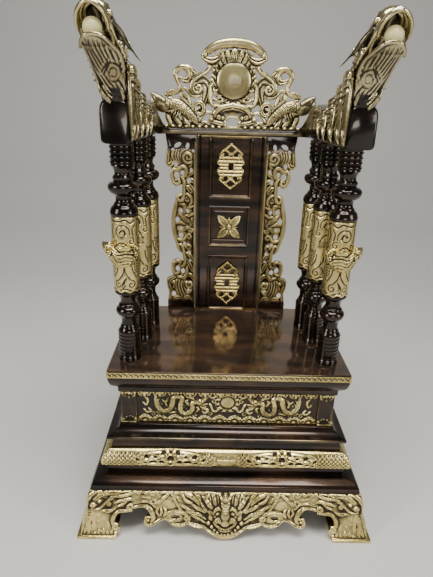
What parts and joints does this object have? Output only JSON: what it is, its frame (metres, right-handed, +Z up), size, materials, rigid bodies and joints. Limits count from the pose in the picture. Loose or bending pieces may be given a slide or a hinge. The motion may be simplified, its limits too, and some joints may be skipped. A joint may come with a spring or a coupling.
{
  "type": "altar throne",
  "caption": "Cast brass altar throne: stepped pedestal, turned columns, horseshoe rail ending in dragon heads with pearls, pierced crest with a sun disc",
  "frame": {"origin": "on the floor under the feet, at the middle of the footprint", "axes": "+X to the right as seen from the front, +Y to the throne's back, +Z up"},
  "size_m": [0.509, 0.3839, 0.828],
  "materials": {
    "polished_brass": "polished pale gold relief with a brown patina in the hollows",
    "smoked_brass": "glossy dark brown smoked patina, warmer where it is rubbed",
    "antique_brass": "dull antique gold over dark hollows",
    "pearl_cream": "pale cream, softly polished"
  },
  "bodies": {
    "root": {"foot_frame": "polished_brass", "lower_moulding": "smoked_brass", "fret_band": "polished_brass", "upper_moulding": "smoked_brass", "pedestal_box": "smoked_brass", "seat_plate": "smoked_brass", "column_front_left": "smoked_brass", "column_front_right": "smoked_brass", "column_middle_left": "smoked_brass", "column_middle_right": "smoked_brass", "column_back_left": "smoked_brass", "column_back_right": "smoked_brass", "back_board": "smoked_brass", "medallion_top": "polished_brass", "flower_plaque": "polished_brass", "medallion_bottom": "polished_brass", "wing_left": "antique_brass", "wing_right": "antique_brass", "arm_rail": "smoked_brass", "dragon_left": "polished_brass", "dragon_right": "polished_brass", "pearl_left": "pearl_cream", "pearl_right": "pearl_cream", "crest": "polished_brass"}
  },
  "joints": []
}
